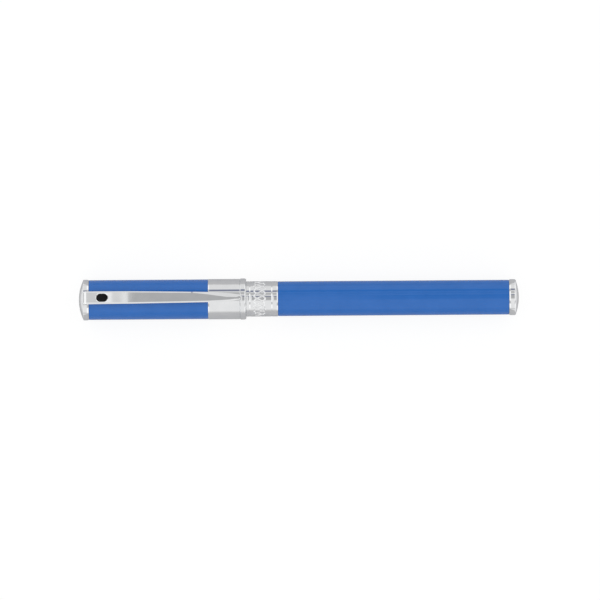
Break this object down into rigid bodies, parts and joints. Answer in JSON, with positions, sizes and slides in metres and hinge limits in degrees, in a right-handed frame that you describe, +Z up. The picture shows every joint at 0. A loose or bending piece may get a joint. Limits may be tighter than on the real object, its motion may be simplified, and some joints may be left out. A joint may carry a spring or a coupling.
{
  "type": "rollerball pen",
  "caption": "Capped rollerball pen with a blue lacquered cap and barrel, polished chrome fittings, a slim pocket clip with a black inlay, and a screwed writing section inside.",
  "frame": {"origin": "under the pen's axis at the middle of its length, at the height of its lowest point, where the cap's lip rests", "axes": "+X along the pen from the crown to the tail, +Z up on the pocket clip's side"},
  "size_m": [0.138, 0.013, 0.0152],
  "materials": {
    "polished_chrome": "mirror-polished chrome plate",
    "blue_lacquer": "deep blue gloss lacquer on brass",
    "black_lacquer": "black gloss lacquer",
    "black_resin": "polished black resin",
    "liner_plastic": "moulded black plastic",
    "turned_brass": "turned brass",
    "black_rubber": "soft black rubber",
    "spring_steel": "bright spring wire",
    "refill_steel": "satin steel tube",
    "refill_plastic": "dark grey plastic",
    "ink_fibre": "ink-soaked fibre",
    "carbide": "polished tungsten carbide"
  },
  "bodies": {
    "barrel": {"barrel_tube": "blue_lacquer", "centre_ring": "polished_chrome", "thread_bush": "turned_brass", "tail_plug": "turned_brass", "tail_ring": "polished_chrome", "tail_dome": "polished_chrome", "refill_spring": "spring_steel"},
    "section_seal": {"section_o_ring": "black_rubber"},
    "section": {"section_sleeve": "turned_brass", "grip_section": "black_resin", "nose_trim_ring": "polished_chrome", "nose_cone": "polished_chrome"},
    "snap_ring": {"snap_ring": "spring_steel"},
    "cap": {"crown_dome": "polished_chrome", "crown_ring": "polished_chrome", "crown_plug": "turned_brass", "cap_tube": "blue_lacquer", "cap_band": "polished_chrome", "inner_cap": "liner_plastic"},
    "clip": {"clip": "polished_chrome", "clip_inlay": "black_lacquer"},
    "refill": {"refill_tube": "refill_steel", "refill_shoulder": "refill_plastic", "refill_tip": "refill_steel", "refill_wick": "ink_fibre", "refill_reservoir": "ink_fibre", "refill_end_plug": "refill_plastic"},
    "ball": {"refill_ball": "carbide"}
  },
  "joints": [
    {"name": "section_advance", "type": "slide", "parent": "barrel", "child": "section_seal", "axis": [-1, 0, 0], "range_m": [0, 0.0055], "deforming": ["refill_spring"]},
    {"name": "section_turn", "type": "hinge", "parent": "section_seal", "child": "section", "pos_m": [-0.0165, 0, 0.00645], "axis": [-1, 0, 0], "range_deg": [0, 1980], "deforming": ["refill_spring"]},
    {"name": "cap_turn", "type": "hinge", "parent": "section", "child": "snap_ring", "pos_m": [-0.0165, 0, 0.00645], "axis": [-1, 0, 0], "continuous": true},
    {"name": "cap_pull", "type": "slide", "parent": "snap_ring", "child": "cap", "axis": [-1, 0, 0], "range_m": [0, 0.07]},
    {"name": "clip_flex", "type": "hinge", "parent": "cap", "child": "clip", "pos_m": [-0.0675, 0, 0.01255], "axis": [0, -1, 0], "range_deg": [0, 2.5], "stiffness_Nm_per_rad": 12},
    {"name": "refill_float", "type": "slide", "parent": "section", "child": "refill", "axis": [1, 0, 0], "range_m": [0, 0.002], "stiffness_N_per_m": 300, "springref_m": -0.006, "deforming": ["refill_spring"]},
    {"name": "ball_roll", "type": "hinge", "parent": "refill", "child": "ball", "pos_m": [-0.05665, 0, 0.00645], "axis": [0, 1, 0], "continuous": true}
  ],
  "couplings": [
    {"joint": "section_turn", "follows": "section_advance", "rad_per_m": 6283.2}
  ]
}
